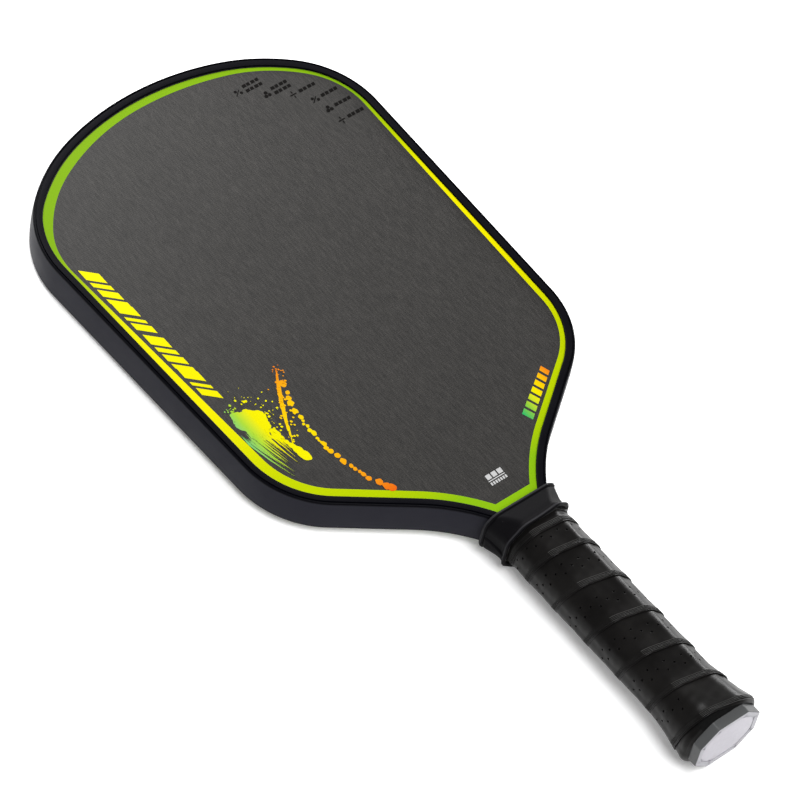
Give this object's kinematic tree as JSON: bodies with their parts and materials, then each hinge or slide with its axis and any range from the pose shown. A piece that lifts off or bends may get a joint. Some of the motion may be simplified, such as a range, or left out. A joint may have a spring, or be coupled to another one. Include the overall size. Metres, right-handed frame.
{
  "type": "pickleball paddle",
  "caption": "Wide-bodied sandwich-panel paddle with a U-shaped edge guard, a rubber throat collar, a spiral-wrapped octagonal handle and a butt cap.",
  "frame": {"origin": "centre of the butt cap's flat end face", "axes": "+Y from the butt to the head, +Z out of the front face, +X across the head"},
  "size_m": [0.1862, 0.4168, 0.035],
  "materials": {
    "core_polymer": "extruded polypropylene",
    "adhesive": "cured film",
    "glass_laminate": "glass-fibre laminate",
    "carbon": "raw carbon peel-ply texture with a printed border",
    "guard_plastic": "satin moulded plastic",
    "shell_foam": "moulded structural foam",
    "cap_plastic": "satin moulded plastic",
    "badge": "smooth domed label",
    "staple_wire": "drawn wire",
    "grip": "perforated synthetic leather, slightly glossy",
    "tape": "vinyl tape",
    "collar_rubber": "matt moulded rubber"
  },
  "bodies": {
    "root": {"honeycomb_core": "core_polymer", "front_adhesive_film": "adhesive", "rear_adhesive_film": "adhesive", "front_glass_ply": "glass_laminate", "rear_glass_ply": "glass_laminate", "front_carbon_face": "carbon", "rear_carbon_face": "carbon", "edge_guard": "guard_plastic", "edge_guard_tape": "adhesive", "front_handle_shell": "shell_foam", "rear_handle_shell": "shell_foam", "front_tongue_bond": "adhesive", "rear_tongue_bond": "adhesive", "butt_cap": "cap_plastic", "butt_badge": "badge", "cap_staples": "staple_wire", "grip_wrap": "grip", "grip_finishing_tape": "tape", "throat_collar": "collar_rubber"}
  },
  "joints": []
}
